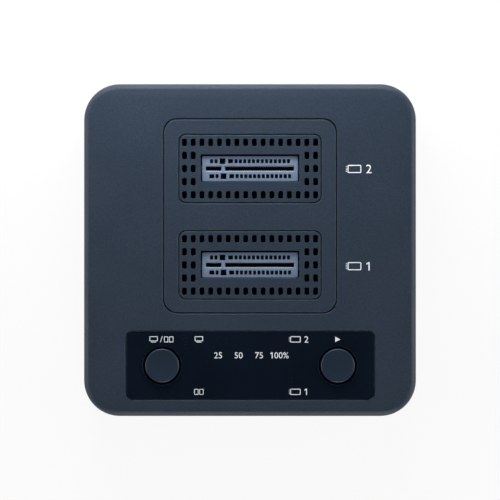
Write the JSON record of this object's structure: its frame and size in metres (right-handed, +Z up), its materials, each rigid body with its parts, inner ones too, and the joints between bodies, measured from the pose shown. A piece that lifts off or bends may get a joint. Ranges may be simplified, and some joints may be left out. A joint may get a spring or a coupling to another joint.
{
  "type": "drive duplicator",
  "caption": "Square desktop dock with upright edge-card sockets in a perforated bay plate, a glossy button panel, and power, data and rocker ports on its rear wall.",
  "frame": {"origin": "on the surface it stands on, under the middle of the body", "axes": "+Z up, +Y towards the rear wall with the ports, +X to the right seen from the front"},
  "size_m": [0.076, 0.076, 0.0327],
  "materials": {
    "shell_plastic": "fine-textured blue-grey plastic",
    "cover_plastic": "fine-textured blue-grey plastic",
    "plate_plastic": "fine-textured blue-grey plastic",
    "grille_plastic": "fine-textured blue-grey plastic",
    "panel_gloss": "black gloss plastic",
    "foot_rubber": "matt black rubber",
    "button_plastic": "satin dark plastic",
    "plunger_plastic": "black nylon",
    "switch_plastic": "black nylon",
    "switch_steel": "pressed steel",
    "tinned_metal": "tinned",
    "lamp_resin": "clear resin",
    "guide_clear": "frosted clear plastic",
    "board_laminate": "solder-masked laminate",
    "socket_plastic": "blue-grey moulded plastic",
    "contact_gold": "gold-plated springs",
    "chip_resin": "black epoxy",
    "crystal_steel": "pressed steel can",
    "ferrite": "grey ferrite",
    "reservoir_resin": "yellow-brown moulded resin",
    "capacitor_ceramic": "fired ceramic",
    "port_plastic": "black nylon",
    "port_steel": "nickel-plated",
    "rocker_plastic": "black nylon"
  },
  "bodies": {
    "dock": {"top_shell": "shell_plastic", "bottom_cover": "cover_plastic", "bay_plate": "plate_plastic", "rear_grille": "grille_plastic", "front_grille": "grille_plastic", "control_panel": "panel_gloss", "rubber_feet": "foot_rubber", "switch_bases": "switch_plastic", "switch_covers": "switch_steel", "switch_terminals": "tinned_metal", "indicator_leds": "lamp_resin", "light_guide": "guide_clear", "main_board": "board_laminate", "rear_socket_housing": "socket_plastic", "front_socket_housing": "socket_plastic", "rear_socket_contacts": "contact_gold", "front_socket_contacts": "contact_gold", "socket_hold_downs": "tinned_metal", "controller_chip": "chip_resin", "bridge_chips": "chip_resin", "flash_chip": "chip_resin", "crystals": "crystal_steel", "power_inductors": "ferrite", "reservoir_capacitors": "reservoir_resin", "ceramic_capacitors": "capacitor_ceramic", "dc_jack_housing": "port_plastic", "dc_jack_pin": "port_steel", "dc_jack_spring": "port_steel", "dc_jack_terminals": "tinned_metal", "usb_c_shell": "port_steel", "usb_c_tongue": "port_plastic", "power_switch_housing": "port_plastic", "power_switch_terminals": "tinned_metal"},
    "mode_button": {"mode_button": "button_plastic", "mode_plunger": "plunger_plastic"},
    "start_button": {"start_button": "button_plastic", "start_plunger": "plunger_plastic"},
    "rocker": {"power_rocker": "rocker_plastic"}
  },
  "joints": [
    {"name": "mode_press", "type": "slide", "parent": "dock", "child": "mode_button", "axis": [0, 0, -1], "range_m": [0, 0.0005], "stiffness_N_per_m": 3000},
    {"name": "start_press", "type": "slide", "parent": "dock", "child": "start_button", "axis": [0, 0, -1], "range_m": [0, 0.0005], "stiffness_N_per_m": 3000},
    {"name": "rocker_turn", "type": "hinge", "parent": "dock", "child": "rocker", "pos_m": [0.02, 0.0344, 0.0168], "axis": [0, 0, 1], "range_deg": [0, 16]}
  ]
}
